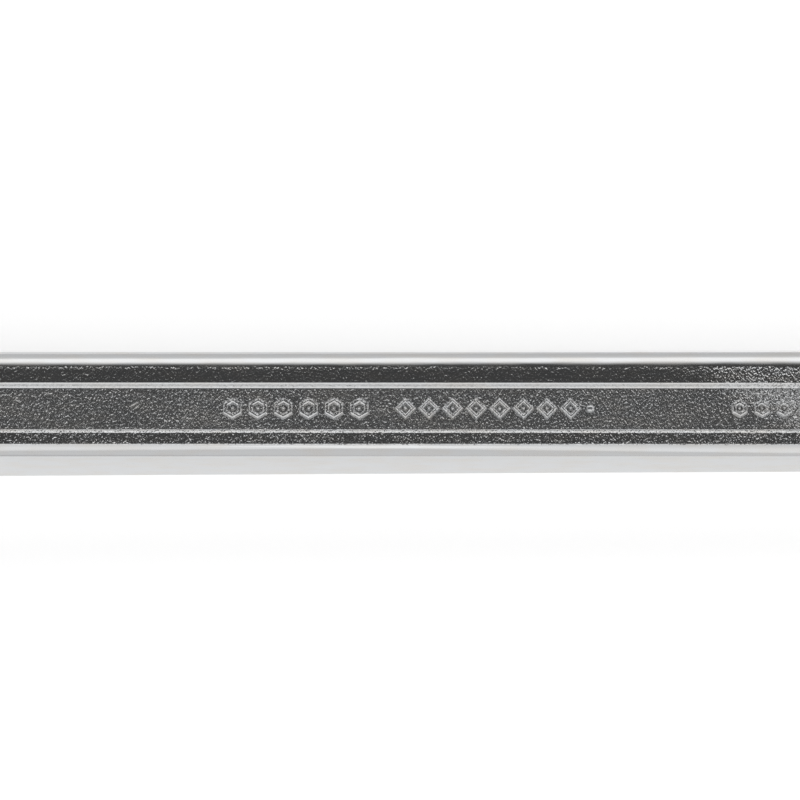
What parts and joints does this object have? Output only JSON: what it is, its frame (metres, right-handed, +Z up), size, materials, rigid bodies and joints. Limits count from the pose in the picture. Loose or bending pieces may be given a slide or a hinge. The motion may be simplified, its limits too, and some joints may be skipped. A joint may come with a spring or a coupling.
{
  "type": "combination wrench",
  "caption": "Metric combination wrench with an angled open end, a recessed-panel shank and a reversible ratcheting twelve-point ring with a thumb lever.",
  "frame": {"origin": "middle of the wrench's length and width, on the surface it lies on, under the shank", "axes": "+X along the shank towards the open end, +Z up through the broad faces, ring axis along Z"},
  "size_m": [0.225, 0.036, 0.0119],
  "materials": {
    "forged_body_chrome": "polished chrome over blasted forging",
    "gear_steel": "machined, plated",
    "clip_steel": "blackened spring steel",
    "pawl_steel": "ground, hardened",
    "lever_steel": "black oxide",
    "seal_rubber": "moulded",
    "spring_steel": "drawn wire"
  },
  "bodies": {
    "wrench": {"wrench_body": "forged_body_chrome", "gear_circlip": "clip_steel", "pawl_pin": "pawl_steel"},
    "gear": {"ratchet_gear": "gear_steel"},
    "pawl": {"pawl": "pawl_steel"},
    "lever": {"reverse_lever": "lever_steel", "lever_seal": "seal_rubber", "lever_clip": "spring_steel", "plunger_spring": "spring_steel"},
    "plunger": {"plunger": "gear_steel"}
  },
  "joints": [
    {"name": "gear_spin", "type": "hinge", "parent": "wrench", "child": "gear", "pos_m": [-0.0965, 0, 0.0055], "axis": [0, 0, 1], "continuous": true},
    {"name": "lever_turn", "type": "hinge", "parent": "wrench", "child": "lever", "pos_m": [-0.0715, 0, 0.0055], "axis": [0, 0, 1], "range_deg": [0, 50]},
    {"name": "pawl_rock", "type": "hinge", "parent": "wrench", "child": "pawl", "pos_m": [-0.0803, 0, 0.0055], "axis": [0, 0, 1], "range_deg": [-10, 0]},
    {"name": "plunger_slide", "type": "slide", "parent": "lever", "child": "plunger", "axis": [0.9063, -0.4226, 0], "range_m": [0, 0.0008], "stiffness_N_per_m": 400, "springref_m": -0.001, "deforming": ["plunger_spring"]}
  ],
  "couplings": [
    {"joint": "pawl_rock", "follows": "lever_turn", "ratio": -0.2}
  ]
}
